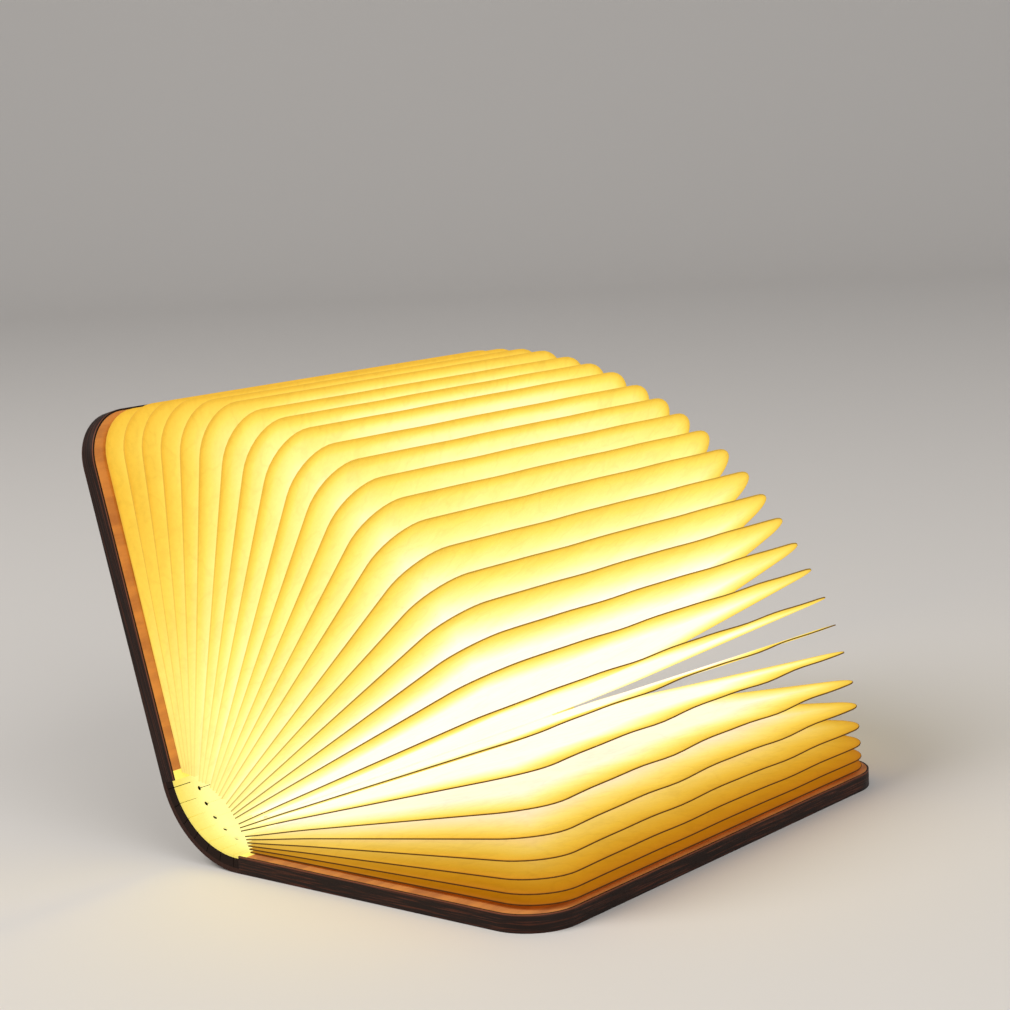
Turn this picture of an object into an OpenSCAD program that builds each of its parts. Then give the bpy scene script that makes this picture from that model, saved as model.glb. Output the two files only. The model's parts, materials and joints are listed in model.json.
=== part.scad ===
// Folding book lamp. The book stands open on its lower cover, the upper cover leans back, and a fan
// of leaves stands between them. The spine is a chain of links on full-length pins, so that the book
// closes flat and also opens right round, back to back.
//
// Every piece is drawn where it lies in the CLOSED book, with the first pin's axis as the origin,
// X towards the fore edge, Y along the spine and Z up through the stack of leaves. on_link(k) then
// carries it to the opened pose by turning it about the pins before it.

/* [Book] */
// Length of the book along its spine
book_l = 122; // [110:1:240]
// Width of the closed book, from the back of the spine to the fore edge
book_w = 88.2; // [80:0.1:180]
// Radius of the covers' rounded fore corners
corner_r = 10.5; // [8:0.5:20]
// Angle between the covers in the pose that is drawn
open_angle = 105; // [30:0.1:180]

/* [Covers] */
// Thickness of a cover board
board_t = 2.8; // [2.6:0.1:3.4]
// Thickness of the wrap on the outer face and edges of a board
wrap_t = 0.4; // [0.3:0.05:0.6]
// Thickness of the endpaper on the inner face of a board
liner_t = 0.4; // [0.2:0.05:0.6]
// Thickness of the flexible skin round the spine
skin_t = 1.0; // [0.6:0.05:1.1]
// Gap left between the outer faces when the book is opened right round
back_gap = 0.3; // [0.2:0.05:0.6]

/* [Spine] */
// Distance between the axes of neighbouring hinge pins
pin_pitch = 4.0; // [3.9:0.05:4.6]
// Diameter of a hinge pin
pin_d = 1.0; // [0.8:0.05:1.1]
// Radial clearance of a pin in its bore
pin_fit = 0.03; // [0.02:0.01:0.06]
// Diameter of the hinge barrels on the links
barrel_d = 2.4; // [2.2:0.05:2.5]
// Number of barrel sections along each pin
barrel_count = 12; // [6:2:16]
// Gap between neighbouring barrels along the pin
barrel_gap = 0.3; // [0.2:0.05:0.5]
// Running gap round a neighbour's barrel, and between facing flanks of two links
link_gap = 0.1; // [0.08:0.01:0.15]
// How far the ends of the links stand back from the ends of the covers
spine_inset = 14; // [12:0.5:16]

/* [Spine ends] */
// Thickness of the pale lining inside the hollow ends of the spine
lining_t = 0.5; // [0.4:0.05:0.8]
// Number of inner kerfs that let each end of the spine bend
kerf_count = 6; // [4:1:8]
// Width of a kerf
kerf_w = 0.15; // [0.1:0.05:0.4]
// Length of the kerfs that are cut in from the end of the spine
edge_kerf_l = 4.5; // [4:0.1:5]
// Distance from the end of the spine to the round hole that an inner kerf starts from
kerf_hole_y = 6.0; // [5.8:0.1:9]
// Diameter of the hole that an inner kerf starts from
kerf_hole_d = 1.1; // [0.8:0.05:1.2]

/* [Leaves] */
// Number of leaves
leaf_count = 28; // [14:1:28]
// Thickness of a leaf, which is a flat pocket of two plies
leaf_t = 0.25; // [0.15:0.05:0.25]
// Margin between the leaves and the ends of the covers
leaf_end_margin = 2.4; // [2:0.1:5]
// Margin between the leaves and the fore edge of the covers
leaf_fore_margin = 0.5; // [0.4:0.1:5]
// Distance of the leaf roots from the centre that the closed links meet at
root_r = 4.85; // [4.8:0.05:4.9]
// Slant of the line of roots beside each cover
root_slope = 0.4; // [0.3:0.05:0.5]
// Line, from the first pin, that the roots are cut back to over the hollow ends of the spine
root_cut_x = 1.4; // [0.8:0.1:2]
// Number of leaves that lie ever closer together towards the lower cover
crowded = 7; // [5:1:7]
// Gap between a leaf's root and the link that carries it
root_gap = 0.3; // [0.25:0.05:0.3]

/* [Electrics] */
// Length of the battery along the spine
battery_l = 60; // [40:1:70]
// Width of the battery
battery_w = 34; // [20:1:40]
// Thickness of the battery
battery_t = 2.0; // [1.6:0.1:2.1]
// Diameter of a closing magnet
magnet_d = 6; // [4:0.5:8]
// Thickness of a closing magnet
magnet_t = 1.6; // [1:0.1:2]
// Width of the charge port's shell
port_w = 7.4; // [7:0.1:8]
// Height of the charge port's shell
port_h = 2.4; // [2:0.1:2.5]
// Length of the charge port's shell
port_l = 5.6; // [5:0.1:7]
// Number of light chips on each strip
led_count = 9; // [4:1:12]

/* [Hidden] */
$fn = 48;
eps = 0.01;
HINGES = 5;
TURN = 180 / HINGES;

cover_t = board_t + wrap_t + liner_t;
step = open_angle / HINGES;

// The pins stand on half a decagon when the book is closed
rise = 2 * pin_pitch * (sin(TURN) + sin(2 * TURN));
pin_lift = (rise - cover_t - back_gap) / 2 - cover_t / 2;
apothem = rise / 2;
pin_depth = pin_lift + cover_t;
centre = [pin_pitch / 2, apothem];
closed_t = rise + 2 * pin_depth;
stack_t = closed_t - 2 * cover_t;
fore_x = book_w - (apothem + pin_depth - centre.x);
board_x = pin_pitch / 2;

// Heights of the layers of the lower cover
inner_z = -pin_lift;
board_top = inner_z - liner_t;
board_low = board_top - board_t;
outer_z = -pin_depth;

barrel_r = barrel_d / 2;
bore_r = pin_d / 2 + pin_fit;
barrel_swing = barrel_r + link_gap;
spine_l = book_l - 2 * spine_inset;
section = spine_l / barrel_count;
core_in = apothem - root_r - root_gap;
web_w = 0.7 * barrel_d;
root_back = 0.4;

leaf_l = book_l - 2 * leaf_end_margin;
leaf_pitch = stack_t / leaf_count;
leaf_corner = corner_r - leaf_fore_margin;

flange_x = 9;
flange_t = 1.0;
flange_z = board_top - flange_t;
slot_w = 0.5;
end_wall = 1.5;
strip_t = 0.4;
strip_in = 1.3;
chip = [0.5, 1.6, 0.35];
lead_w = 6;
lead_t = 0.2;
fit = 0.1;
lead_y = spine_l / 2 - lead_w / 2 - 1;
core_out = pin_depth - skin_t - lead_t - 2 * fit;
end_gap = 0.3;

battery_x = 22;
battery_seal = 1.5;
circuit = [17, 19, 0.8];
circuit_x = 12;
circuit_z = board_low + 0.5;
processor = [4, 4, 0.8];
charger = [3, 3, 0.8];
passive = [0.8, 1.6, 0.6];
sensor = [3, 1.5, 1.0];
port_x = circuit_x + circuit.x / 2;
port_wall = 0.3;
tongue_t = 0.6;
magnet_inset = 10;
switch_magnet = [15, book_l / 2 - 27];

function leaf_name(i) = str("leaf_", i < 9 ? "0" : "", i + 1);

// ---- Where things lie ----------------------------------------------------------------------------

// A point turned by an angle about another point
function turned(p, angle, about = [0, 0]) =
    let (d = p - about)
    about + [d.x * cos(angle) - d.y * sin(angle), d.x * sin(angle) + d.y * cos(angle)];

// Axis of pin j, from 0 to 4, in the closed book
function pin(j) = j == 0 ? [0, 0]
    : pin(j - 1) + pin_pitch * [cos(180 - TURN * j), sin(180 - TURN * j)];

// A point of link k of the closed book, carried to the opened pose
function carried(p, k) = k == 0 ? p : carried(turned(p, step, pin(k - 1)), k - 1);

// Middle of link k; the first and last lie half on the covers
function link_mid(k) = centre + apothem * [cos(270 - TURN * k), sin(270 - TURN * k)];

// The outer corner of the leaning cover and the fore edge of the lying one bound the whole book
tip = carried([fore_x, rise + pin_depth], HINGES);
seat_x = -(tip.x + fore_x) / 2;

// The share of the opening that leaf i takes, from 0 at the lower cover to 1 at the upper one,
// which the last leaf all but reaches
last_gap = 0.2;
function weight(i) = min(1, (i + 1) / crowded);
function total(i) = i < 0 ? 0 : weight(i) + total(i - 1);
function share(i) = total(i) / (total(leaf_count - 1) + last_gap);

// Root of leaf i in the closed book, and the link that carries it
function root_rise(i) = inner_z + leaf_pitch * (i + 0.5) - centre.y;
function past_arc(z) = max(0, abs(z) - root_r * sin(2 * TURN));
function root(i) = let (z = root_rise(i))
    centre + [past_arc(z) > 0
        ? barrel_r + root_back + root_slope * past_arc(z) - centre.x
        : -sqrt(root_r * root_r - z * z), z];
function carrier(i) = let (z = root_rise(i), k = past_arc(z) > 0 ? 0
        : abs(z) > root_r * sin(TURN) ? 1 : 2)
    z > 0 ? HINGES - k : k;

module seated() { translate([seat_x, 0, pin_depth]) children(); }

// Carries what is drawn in the closed book to where link k stands when the book is open
module on_link(k) {
    at = carried([0, 0], k);
    seated() translate([at.x, 0, at.y]) rotate([0, -k * step, 0]) children();
}

// The upper cover is the lower one turned over
module turned_over() { translate([0, 0, rise]) mirror([0, 0, 1]) children(); }

// Extrudes an outline drawn in X and Z from one place along the spine to another
module along(y0, y1) { translate([0, y1, 0]) rotate([90, 0, 0]) linear_extrude(y1 - y0) children(); }

// ---- Covers --------------------------------------------------------------------------------------

// Outline of a cover with its rounded fore corners, drawn in by an inset, from a given X
module cover_outline(inset, from_x) {
    r = corner_r - inset;
    half = book_l / 2 - inset;
    union() {
        translate([from_x, -half]) square([fore_x - inset - r - from_x, 2 * half]);
        translate([from_x, -half + r]) square([fore_x - inset - from_x, 2 * (half - r)]);
        for (side = [-1, 1]) translate([fore_x - corner_r, side * (half - r)]) circle(r, $fn = 96);
    }
}

module magnet_places() {
    for (side = [-1, 1]) translate([fore_x - magnet_inset, side * (book_l / 2 - corner_r)]) children();
}

// A board with the rebate for a link's foot and the pockets for the magnets
module board() {
    difference() {
        translate([0, 0, board_low]) linear_extrude(board_t) cover_outline(wrap_t, board_x);
        translate([board_x - 1, -spine_l / 2, board_top - flange_t - fit / 2])
            cube([flange_x + fit + 1 - board_x, spine_l, flange_t + 1]);
        translate([0, 0, board_top - magnet_t - fit]) linear_extrude(board_t)
            magnet_places() circle(magnet_d / 2 + fit);
    }
}

module lower_board() {
    color("tan") on_link(0) difference() {
        board();
        translate([battery_x - fit, -battery_l / 2 - fit, board_top - battery_t - fit])
            cube([battery_w + 2 * fit, battery_l + 2 * fit, board_t]);
        circuit_pocket();
        lead_channel();
    }
}

// Pocket for the circuit board, with a notch through the edge for the port
module circuit_pocket() {
    y1 = book_l / 2 - port_l;
    translate([circuit_x - fit, y1 - circuit.y - fit, circuit_z])
        cube([circuit.x + 2 * fit, circuit.y + 2 * fit, board_t]);
    translate([port_x - port_w / 2 - fit, y1 - fit, board_low - 1])
        cube([port_w + 2 * fit, port_l + 1, board_t + 2]);
}

module lead_channel() {
    translate([board_x - 1, lead_y - lead_w / 2 - fit, outer_z + skin_t + fit])
        cube([circuit_x - board_x + 1, lead_w + 2 * fit, lead_t + 2 * fit]);
}

// A wrap is a shallow tray: one skin under the board and a rim round three of its edges
module wrap() {
    difference() {
        translate([0, 0, outer_z]) linear_extrude(cover_t) cover_outline(0, board_x);
        translate([0, 0, board_low]) linear_extrude(cover_t) cover_outline(wrap_t, board_x - 1);
    }
}

module lower_wrap() {
    color("#2a1a14") on_link(0) difference() {
        wrap();
        translate([port_x - port_w / 2 - fit, 0, board_low + (board_t - port_h) / 2 - fit])
            cube([port_w + 2 * fit, book_l, port_h + 2 * fit]);
    }
}

// The endpaper runs to the end of the board, except beside the link's riser, and covers the foot
module liner() {
    translate([0, 0, board_top]) linear_extrude(liner_t) difference() {
        cover_outline(wrap_t, board_x);
        translate([0, -spine_l / 2 - fit]) square([riser_x(inner_z) + fit, spine_l + 2 * fit]);
    }
}

module lower_liner() { color("#8a5a48") on_link(0) liner(); }
module upper_liner() { color("#8a5a48") on_link(HINGES) turned_over() liner(); }
module upper_wrap() { color("#2a1a14") on_link(HINGES) turned_over() wrap(); }

module upper_board() {
    color("tan") on_link(HINGES) turned_over() difference() {
        board();
        translate([switch_magnet.x, switch_magnet.y, board_top - magnet_t - fit])
            cylinder(h = board_t, r = magnet_d / 2 + fit);
    }
}

// ---- Spine ---------------------------------------------------------------------------------------

// Centre and inner radius of the arcs that the opened spine follows
open_apothem = pin_pitch / 2 / tan((TURN - step) / 2);
open_centre = [pin_pitch / 2, open_apothem];

// A band round the opened spine, from the middle of the first link through a turn
module spine_band(near, far, turn) {
    reach = 2 * (open_apothem + far);
    intersection() {
        translate(open_centre) difference() {
            circle(open_apothem + far, $fn = 180);
            circle(open_apothem + near, $fn = 180);
        }
        translate(open_centre) polygon([[0, 0], [0, -reach], reach * [cos(270 - turn / 2), sin(270 - turn / 2)],
            reach * [cos(270 - turn), sin(270 - turn)]]);
    }
}

spine_turn = HINGES * TURN - open_angle;

module spine_skin() {
    color("#241611") seated() along(-book_l / 2, book_l / 2)
        spine_band(pin_depth - skin_t, pin_depth, spine_turn);
}

// Beyond the links the spine is hollow, with a wall as thick as a cover that bends at its kerfs
kerf_turn = spine_turn / (kerf_count + 0.75);
kerf_first = (spine_turn - (kerf_count - 1) * kerf_turn) / 2;

module round_spine(turn) {
    translate([open_centre.x, -book_l / 2, open_centre.y]) rotate([0, turn, 0])
        translate([0, 0, -open_apothem - pin_depth]) children();
}

// Short kerfs run in from the end, and long ones between them start from a round hole
module kerfs() {
    for (n = [0 : kerf_count]) round_spine(kerf_first + (n - 0.5) * kerf_turn)
        translate([-kerf_w / 2, -1, 0]) cube([kerf_w, edge_kerf_l + 1, pin_depth]);
    for (n = [0 : kerf_count - 1]) round_spine(kerf_first + n * kerf_turn) {
        translate([-kerf_w / 2, kerf_hole_y, 0]) cube([kerf_w, spine_inset, pin_depth]);
        translate([0, kerf_hole_y, 0]) cylinder(h = pin_depth, d = kerf_hole_d, $fn = 24);
    }
}

module spine_ends(near, far) {
    seated() for (side = [0, 1]) mirror([0, side, 0]) difference() {
        along(-book_l / 2, -spine_l / 2 - end_gap) spine_band(near, far, spine_turn);
        kerfs();
    }
}

module spine_pads() { color("#3a2418") spine_ends(pin_lift + lining_t, pin_depth - skin_t); }
module spine_lining() { color("#fff4d0") spine_ends(pin_lift, pin_lift + lining_t); }

// The flanks of a link fall away from its pins, so that links meet neither closed nor opened right round
function flank(height) = pin_pitch / 2 - abs(height) * tan(TURN / 2) - link_gap / 2;

// Puts an outline drawn across a link, X inwards from the pins and Y along the chain, on link k
module across(k) {
    translate(link_mid(k)) rotate(90 - TURN * k) children();
}

module core_outline() {
    difference() {
        polygon([[core_in, flank(core_in)], [0, flank(0)], [-core_out, flank(core_out)],
            [-core_out, -flank(core_out)], [0, -flank(0)], [core_in, -flank(core_in)]]);
        for (side = [-1, 1]) translate([0, side * pin_pitch / 2]) circle(barrel_swing);
    }
}

// Barrels of one link on pin j; the two links on a pin take turns along it
module barrels(j, first, towards) {
    for (n = [first : 2 : barrel_count - 1]) {
        y0 = -spine_l / 2 + n * section;
        along(y0 + barrel_gap / 2, y0 + section - barrel_gap / 2) {
            translate(pin(j)) circle(barrel_r);
            web(pin(j), towards);
        }
    }
}

// Web from a barrel to the middle of its own link
module web(from, to) {
    d = to - from;
    translate(from) rotate(atan2(d.y, d.x)) translate([0, -web_w / 2]) square([norm(d), web_w]);
}

module bores(k) {
    for (j = [k - 1 : k]) if (j >= 0 && j < HINGES)
        along(-book_l, book_l) translate(pin(j)) circle(bore_r);
}

// One of the four links that hang between two pins
module free_link(k) {
    color("#f6e7a8") on_link(k) difference() {
        union() {
            along(-spine_l / 2, spine_l / 2) across(k) core_outline();
            barrels(k - 1, 1, link_mid(k));
            barrels(k, 0, link_mid(k));
        }
        bores(k);
        along(-spine_l / 2 + end_wall, spine_l / 2 - end_wall) across(k)
            translate([-core_out - 1, -slot_w / 2]) square([core_out + 1 - strip_in + chip.z + fit, slot_w]);
    }
}

// Front face of a fixed link's riser, which follows the slanted line of the leaf roots
function riser_x(z) = barrel_r + root_back - root_gap + root_slope * past_arc(z - centre.y);
riser_back = 0.7 * barrel_swing;

module riser_outline() {
    top = barrel_swing;
    difference() {
        polygon([[flank(0) - flank(flange_z), flange_z], [flange_x, flange_z], [flange_x, board_top],
            [riser_x(inner_z), board_top], [riser_x(inner_z), inner_z], [riser_x(top), top],
            [riser_back, top], [riser_back, 0], [flank(0) - flank(barrel_swing), -barrel_swing]]);
        circle(barrel_swing);
    }
}

// A link that is fixed to a cover by its foot
module fixed_link() {
    difference() {
        union() {
            along(-spine_l / 2, spine_l / 2) riser_outline();
            barrels(0, 0, [barrel_swing, 0]);
        }
        bores(0);
    }
}

module first_link() { color("#f6e7a8") on_link(0) fixed_link(); }

// The last link is the first one turned over and turned end for end, so that the barrels take turns
module last_link() {
    color("#f6e7a8") on_link(HINGES) turned_over() mirror([0, 1, 0]) fixed_link();
}

module hinge_pin(j) {
    color("#4a4a4c") on_link(j + 1) along(-spine_l / 2, spine_l / 2) translate(pin(j)) circle(pin_d / 2);
}

// ---- Electrics -----------------------------------------------------------------------------------

// A strip stands on edge in its link's slot, with the light chips on the edge that faces the leaves
module led_strip(k) {
    strip_l = spine_l - 2 * end_wall - 2;
    space = strip_l / led_count;
    color("ivory") on_link(k) {
        along(-strip_l / 2, strip_l / 2) across(k)
            translate([-core_out, -strip_t / 2]) square([core_out - strip_in, strip_t]);
        for (n = [0 : led_count - 1]) {
            y0 = -strip_l / 2 + (n + 0.5) * space - chip.y / 2;
            along(y0, y0 + chip.y) across(k) translate([-strip_in, -strip_t / 2]) square([chip.z, strip_t]);
        }
    }
}

module battery() {
    body_l = battery_l - 2 * battery_seal;
    color("silver") on_link(0) translate([battery_x, -battery_l / 2, board_top - battery_t]) {
        cube([battery_w, body_l, battery_t]);
        translate([battery_seal, body_l, battery_t / 4])
            cube([battery_w - 2 * battery_seal, 2 * battery_seal, battery_t / 2]);
    }
}

module circuit_board() {
    y1 = book_l / 2 - port_l;
    color("darkgreen") on_link(0) translate([circuit_x, y1 - circuit.y, circuit_z]) {
        cube(circuit);
        translate([circuit.x / 2, circuit.y / 8, circuit.z]) cube(processor);
        translate([charger.x, circuit.y - 2.5 * charger.y, circuit.z]) cube(charger);
        for (n = [0 : 3]) translate([circuit.x / 2 + 2.2 * n * passive.x, circuit.y / 2, circuit.z])
            cube(passive);
    }
}

module hall_sensor() {
    y1 = book_l / 2 - port_l;
    color("#202020") on_link(0)
        translate([switch_magnet.x - sensor.x / 2, y1 - circuit.y + sensor.y, circuit_z + circuit.z])
            cube(sensor);
}

// The port is a flattened shell with a tongue inside
module charge_port() {
    y1 = book_l / 2;
    z0 = board_low + (board_t - port_h) / 2;
    color("silver") on_link(0) {
        difference() {
            translate([port_x - port_w / 2, y1 - port_l, z0]) cube([port_w, port_l - eps, port_h]);
            translate([port_x - port_w / 2 + port_wall, y1 - port_l + 1, z0 + port_wall])
                cube([port_w - 2 * port_wall, port_l, port_h - 2 * port_wall]);
        }
        translate([port_x - port_w / 3, y1 - port_l + 1, z0 + (port_h - tongue_t) / 2])
            cube([port_w * 2 / 3, port_l - 2, tongue_t]);
    }
}

// The flat lead runs from the circuit board to the spine and on round the backs of the links
module flex_lead() {
    far = pin_depth - skin_t - fit;
    color("orange") seated() along(lead_y - lead_w / 2, lead_y + lead_w / 2) union() {
        spine_band(far - lead_t, far, 4 * (TURN - step));
        translate([board_x, -far]) square([circuit_x - board_x, lead_t]);
    }
}

module magnets() {
    translate([0, 0, board_top - magnet_t]) linear_extrude(magnet_t) magnet_places() circle(magnet_d / 2);
}

module lower_magnets() { color("gainsboro") on_link(0) magnets(); }

module upper_magnets() {
    color("gainsboro") on_link(HINGES) turned_over() {
        magnets();
        translate([switch_magnet.x, switch_magnet.y, board_top - magnet_t])
            cylinder(h = magnet_t, r = magnet_d / 2);
    }
}

// ---- Leaves --------------------------------------------------------------------------------------

// Outline of a leaf of a given width, from its root, with corners of a few straight facets
module leaf_outline(width, cut) {
    r = leaf_corner;
    arc = [for (n = [0 : 8]) r * [cos(90 * n / 8), sin(90 * n / 8)]];
    half = leaf_l / 2;
    polygon(concat([[0, -spine_l / 2], [cut, -half]],
        [for (n = [8 : -1 : 0]) [width - r + arc[n].x, -half + r - arc[n].y]],
        [for (n = [0 : 8]) [width - r + arc[n].x, half - r + arc[n].y]],
        [[cut, half], [0, spine_l / 2]]));
}

module leaf(i) {
    at = carried(root(i), carrier(i));
    color("#ffe9a6") seated() translate([at.x, 0, at.y]) rotate([0, -open_angle * share(i), 0])
        translate([0, 0, -leaf_t / 2]) linear_extrude(leaf_t)
            leaf_outline(fore_x - leaf_fore_margin - root(i).x, max(0, root_cut_x - root(i).x));
}

// ---- Nodes ---------------------------------------------------------------------------------------

lower_board();
lower_wrap();
lower_liner();
upper_board();
upper_wrap();
upper_liner();
spine_skin();
spine_pads();
spine_lining();
first_link();  // spine_link_1
free_link(1);  // spine_link_2
free_link(2);  // spine_link_3
free_link(3);  // spine_link_4
free_link(4);  // spine_link_5
last_link();  // spine_link_6
hinge_pin(0);  // hinge_pin_1
hinge_pin(1);  // hinge_pin_2
hinge_pin(2);  // hinge_pin_3
hinge_pin(3);  // hinge_pin_4
hinge_pin(4);  // hinge_pin_5
led_strip(1);  // led_strip_1
led_strip(2);  // led_strip_2
led_strip(3);  // led_strip_3
led_strip(4);  // led_strip_4
battery();
circuit_board();
charge_port();
hall_sensor();
flex_lead();
lower_magnets();
upper_magnets();
for (i = [0 : leaf_count - 1])
    leaf(i);
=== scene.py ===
# %% [markdown]
# # A folding book lamp and its looks
#
# The lamp is a small book whose leaves glow. The construction is already made: every board, link,
# pin and leaf has its real size and place, and a body that it moves with. This lesson gives those
# pieces their looks. Where a solid has the right shape it keeps it and gets a finish. Where it is a
# plain stand-in for something soft, such as a paper leaf, a modelled sheet takes its place.
#
# Every length is in metres, in the frame of the construction: X runs from the spine to the fore
# edge of the lying cover, Y along the spine, and Z up.

# %% Load the frame
import json
import math

import bmesh
import bpy
import numpy as np
from mathutils import Matrix, Vector


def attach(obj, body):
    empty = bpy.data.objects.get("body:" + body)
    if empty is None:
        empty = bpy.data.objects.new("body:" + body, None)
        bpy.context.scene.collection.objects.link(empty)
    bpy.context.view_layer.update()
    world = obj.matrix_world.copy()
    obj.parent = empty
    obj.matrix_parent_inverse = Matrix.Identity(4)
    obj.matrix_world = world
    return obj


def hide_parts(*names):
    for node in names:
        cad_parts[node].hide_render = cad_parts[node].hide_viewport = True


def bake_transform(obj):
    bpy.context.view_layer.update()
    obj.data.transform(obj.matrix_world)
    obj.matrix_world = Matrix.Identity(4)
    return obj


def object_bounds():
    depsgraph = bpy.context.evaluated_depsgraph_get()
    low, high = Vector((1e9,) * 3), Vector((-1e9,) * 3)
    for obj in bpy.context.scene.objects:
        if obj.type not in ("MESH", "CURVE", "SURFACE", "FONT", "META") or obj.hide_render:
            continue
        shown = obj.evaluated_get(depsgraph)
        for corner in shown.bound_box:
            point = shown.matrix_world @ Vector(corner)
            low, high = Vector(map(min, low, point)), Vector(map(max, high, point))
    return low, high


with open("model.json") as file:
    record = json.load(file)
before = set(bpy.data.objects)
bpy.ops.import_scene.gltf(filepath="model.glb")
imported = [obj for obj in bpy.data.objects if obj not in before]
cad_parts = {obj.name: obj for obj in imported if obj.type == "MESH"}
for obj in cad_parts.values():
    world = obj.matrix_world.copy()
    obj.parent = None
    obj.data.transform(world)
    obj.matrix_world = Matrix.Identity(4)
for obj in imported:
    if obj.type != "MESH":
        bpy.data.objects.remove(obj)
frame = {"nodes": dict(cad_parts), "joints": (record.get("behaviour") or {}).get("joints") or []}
cad_box = [list(corner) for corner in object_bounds()]
nodes = frame["nodes"]
MM = 0.001

# %% [markdown]
# ## The camera
#
# A camera is a place, three turns and a lens. The turns are given the way that a tripod head is
# set: the pan round the lamp, the tip down towards the table, and a slight roll. The long
# lens keeps the near corner of the book from looking swollen.

# %% Set up the camera
EYE = Vector((0.3192, -0.3863, 0.1458))
PAN = math.radians(39.17)
TIP = math.radians(9.08)
ROLL = math.radians(-2.61)
LENS = 86.8
FRAME_WIDTH = 36
NEAREST = 0.01

camera_data = bpy.data.cameras.new("camera")
camera_data.lens = LENS
camera_data.sensor_width = FRAME_WIDTH
camera_data.clip_start = NEAREST
camera = bpy.data.objects.new("camera", camera_data)
bpy.context.scene.collection.objects.link(camera)
head = Matrix.Rotation(PAN, 4, "Z") @ Matrix.Rotation(math.pi / 2 - TIP, 4, "X")
camera.matrix_world = Matrix.Translation(EYE) @ head @ Matrix.Rotation(ROLL, 4, "Z")
bpy.context.scene.camera = camera
print("camera at", tuple(round(x, 3) for x in EYE), "with a", LENS, "mm lens")

# %% [markdown]
# ## Finishes as arithmetic
#
# A shader is a graph of small nodes, and a graph is hard to read. So a link between nodes is wrapped
# in a class that knows how to add, multiply and compare. An expression such as `1 - mask * 0.5` then
# builds its own Math nodes. Any other node comes from one method, `add`.

# %% A class for links, and one for finishes
class Wire:
    """The output of a shader node, which combines with numbers and with other wires."""

    def __init__(self, finish, socket):
        self.finish = finish
        self.socket = socket

    def maths(self, operation, *values):
        sockets = dict(enumerate(values))
        return self.finish.add("Math", {"operation": operation}, sockets)

    def __add__(self, other):
        return self.maths("ADD", self, other)

    def __radd__(self, other):
        return self.maths("ADD", other, self)

    def __sub__(self, other):
        return self.maths("SUBTRACT", self, other)

    def __rsub__(self, other):
        return self.maths("SUBTRACT", other, self)

    def __mul__(self, other):
        return self.maths("MULTIPLY", self, other)

    def __rmul__(self, other):
        return self.maths("MULTIPLY", other, self)

    def __truediv__(self, other):
        return self.maths("DIVIDE", self, other)

    def __rtruediv__(self, other):
        return self.maths("DIVIDE", other, self)

    def __pow__(self, other):
        return self.maths("POWER", self, other)

    def __abs__(self):
        return self.maths("ABSOLUTE", self)

    def over(self, other):
        return self.maths("MAXIMUM", self, other)

    def under(self, other):
        return self.maths("MINIMUM", self, other)

    def ramp(self, low, high):
        """0 below low, 1 above high, and a smooth rise between them."""
        settings = {"interpolation_type": "SMOOTHSTEP"}
        return self.finish.add("MapRange", settings, {0: self, 1: low, 2: high, 3: 0.0, 4: 1.0})


class Finish:
    """A material: add() puts in a node, mix() mixes two colours, and feed() sets the surface."""

    def __init__(self, name, **constants):
        self.material = bpy.data.materials.new(name)
        self.material.use_nodes = True
        self.tree = self.material.node_tree
        self.surface = self.tree.nodes["Principled BSDF"]
        self.feed({key.replace("_", " "): value for key, value in constants.items()})

    def add(self, kind, settings=None, sockets=None, out=0):
        node = self.tree.nodes.new("ShaderNode" + kind)
        for key, value in (settings or {}).items():
            if key == "stops":
                self.set_stops(node.color_ramp, value)
            else:
                setattr(node, key, value)
        self.connect(node, sockets or {})
        return Wire(self, node.outputs[out])

    def connect(self, node, sockets):
        for key, value in sockets.items():
            if isinstance(value, Wire):
                self.tree.links.new(value.socket, node.inputs[key])
            else:
                node.inputs[key].default_value = value

    def set_stops(self, ramp, stops):
        while len(ramp.elements) < len(stops):
            ramp.elements.new(1.0)
        for element, (place, colour) in zip(ramp.elements, stops):
            element.position = place
            element.color = (*colour, 1.0)

    def feed(self, sockets):
        self.connect(self.surface, sockets)

    def mix(self, factor, first, second, blend="MIX"):
        settings = {"data_type": "RGBA", "blend_type": blend}
        colours = [c if isinstance(c, Wire) else (*c, 1.0) for c in (first, second)]
        return self.add("Mix", settings, {0: factor, 6: colours[0], 7: colours[1]}, out=2)

    def place(self):
        """Where a point lies on its own object, in metres."""
        return self.add("TexCoord", out="Object")

    def split(self, vector):
        """The three parts of a vector, from one node."""
        first = self.add("SeparateXYZ", None, {0: vector})
        return [Wire(self, output) for output in first.socket.node.outputs]

    def axis(self, number):
        return self.split(self.place())[number]

    def dot(self, vector, direction):
        return self.add("VectorMath", {"operation": "DOT_PRODUCT"}, {0: vector, 1: direction}, out=1)

    def scaled(self, vector, factors):
        return self.add("VectorMath", {"operation": "MULTIPLY"}, {0: vector, 1: factors})

    def stretched(self, *factors):
        """The place, drawn out along the axes whose factor is below 1."""
        return self.scaled(self.place(), factors)

    def layered(self, normal, across, along):
        """The place, counted in layers across a normal and in long steps along them."""
        place = self.place()
        height = self.dot(place, normal)
        lift = self.add("CombineXYZ", None, {2: height * (1 / across)})
        steps = self.scaled(place, (1 / along,) * 3)
        return self.add("VectorMath", {"operation": "ADD"}, {0: steps, 1: lift})

    def noise(self, size, detail=3.0, roughness=0.5, at=None):
        """Soft random mottling between 0 and 1, with blotches of about a given size."""
        sockets = {"Vector": at or self.place(), "Scale": 1 / size, "Detail": detail}
        return self.add("TexNoise", None, {**sockets, "Roughness": roughness})

    def bump(self, height, depth):
        """A relief of a given depth in metres."""
        sockets = {"Strength": 1.0, "Distance": depth, "Height": height}
        return self.add("Bump", None, sockets)


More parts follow.
